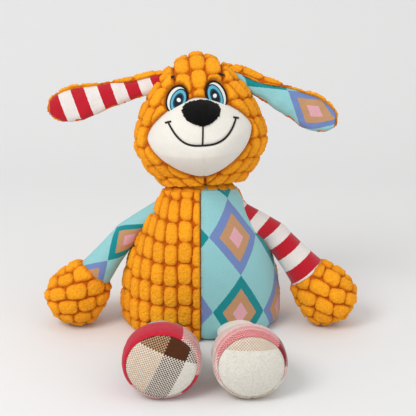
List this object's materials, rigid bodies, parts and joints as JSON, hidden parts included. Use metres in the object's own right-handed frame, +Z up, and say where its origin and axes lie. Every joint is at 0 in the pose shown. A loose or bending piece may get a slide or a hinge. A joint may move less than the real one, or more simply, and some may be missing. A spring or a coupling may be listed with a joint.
{
  "type": "squeaky dog toy",
  "caption": "Stuffed squeaky dog toy that sits on a flat seat, with corduroy plush, argyle and striped cloth, a padded muzzle, floppy ears and plaid feet",
  "frame": {"origin": "Centre of the flat seat, on the floor.", "axes": "+X to the toy's own left, -Y the way it faces, +Z up."},
  "size_m": [0.2756, 0.2177, 0.24],
  "materials": {
    "orange_plush": "corduroy plush in raised cells with a soft pile",
    "argyle_print": "short pile printed with argyle diamonds",
    "striped_jersey": "short pile printed in red and white stripes",
    "white_pile": "short white pile",
    "black_pile": "short black pile",
    "eye_thread": "satin stitch in blue, white and black thread",
    "black_thread": "satin stitch in black thread",
    "plaid_homespun": "loosely woven plaid in red and white",
    "sole_plaid": "loosely woven plaid in cream and brown",
    "fibre_fill": "loose white polyester fill",
    "squeaker_plastic": "moulded white plastic",
    "bellows_plastic": "soft blown plastic"
  },
  "bodies": {
    "torso": {"body_front_right": "orange_plush", "body_front_left": "argyle_print", "body_back_right": "orange_plush", "body_back_left": "orange_plush", "base_panel": "orange_plush", "body_stuffing": "fibre_fill", "closing_stuffing": "fibre_fill", "squeaker_base": "squeaker_plastic", "squeaker_reed_holder": "squeaker_plastic", "squeaker_reed": "bellows_plastic", "squeaker_bellows": "bellows_plastic"},
    "squeaker_cap": {"squeaker_cap": "squeaker_plastic"},
    "neck": {"neck_stuffing": "fibre_fill"},
    "head": {"head_side_right": "orange_plush", "head_side_left": "orange_plush", "head_gusset": "orange_plush", "muzzle_panel": "white_pile", "head_stuffing": "fibre_fill", "nose_patch": "black_pile", "eye_right": "eye_thread", "brow_right": "black_thread", "eye_left": "eye_thread", "brow_left": "black_thread", "mouth_stitch": "black_thread"},
    "ear_right": {"ear_right_outer": "orange_plush", "ear_right_lining": "striped_jersey"},
    "arm_right": {"arm_right_sleeve": "argyle_print", "arm_right_paw": "orange_plush", "arm_right_stuffing": "fibre_fill"},
    "leg_right": {"leg_right_sleeve": "argyle_print", "foot_right_upper": "plaid_homespun", "foot_right_sole": "sole_plaid", "leg_right_stuffing": "fibre_fill"},
    "ear_left": {"ear_left_outer": "orange_plush", "ear_left_lining": "argyle_print"},
    "arm_left": {"arm_left_sleeve": "striped_jersey", "arm_left_paw": "orange_plush", "arm_left_stuffing": "fibre_fill"},
    "leg_left": {"leg_left_sleeve": "striped_jersey", "foot_left_upper": "plaid_homespun", "foot_left_sole": "sole_plaid", "leg_left_stuffing": "fibre_fill"}
  },
  "joints": [
    {"name": "neck_turn", "type": "hinge", "parent": "torso", "child": "neck", "pos_m": [0, -0.00499, 0.09952], "axis": [0, 0.2079, 0.9781], "range_deg": [-40, 40], "stiffness_Nm_per_rad": 1},
    {"name": "neck_nod", "type": "hinge", "parent": "neck", "child": "head", "pos_m": [0, -0.00499, 0.09952], "axis": [1, 0, 0], "range_deg": [-15, 20], "stiffness_Nm_per_rad": 1},
    {"name": "ear_right_flop", "type": "hinge", "parent": "head", "child": "ear_right", "pos_m": [-0.03717, -0.00216, 0.21521], "axis": [0.5157, 0.0391, 0.8559], "range_deg": [-50, 60], "stiffness_Nm_per_rad": 0.08},
    {"name": "ear_left_flop", "type": "hinge", "parent": "head", "child": "ear_left", "pos_m": [0.03115, 0.00262, 0.21879], "axis": [0.6023, 0.0391, -0.7973], "range_deg": [-50, 60], "stiffness_Nm_per_rad": 0.08},
    {"name": "arm_right_lift", "type": "hinge", "parent": "torso", "child": "arm_right", "pos_m": [-0.04963, 0, 0.099], "axis": [0, 1, 0], "range_deg": [-5, 65], "stiffness_Nm_per_rad": 0.6},
    {"name": "arm_left_lift", "type": "hinge", "parent": "torso", "child": "arm_left", "pos_m": [0.04963, 0, 0.099], "axis": [0, -1, 0], "range_deg": [-5, 65], "stiffness_Nm_per_rad": 0.6},
    {"name": "leg_right_swing", "type": "hinge", "parent": "torso", "child": "leg_right", "pos_m": [-0.031, -0.055, 0.024], "axis": [-1, 0, 0], "range_deg": [-20, 50], "stiffness_Nm_per_rad": 0.8},
    {"name": "leg_left_swing", "type": "hinge", "parent": "torso", "child": "leg_left", "pos_m": [0.031, -0.055, 0.024], "axis": [-1, 0, 0], "range_deg": [-20, 50], "stiffness_Nm_per_rad": 0.8},
    {"name": "squeaker_press", "type": "slide", "parent": "torso", "child": "squeaker_cap", "axis": [0, 1, 0], "range_m": [0, 0.008], "stiffness_N_per_m": 150, "deforming": ["squeaker_bellows"]}
  ]
}
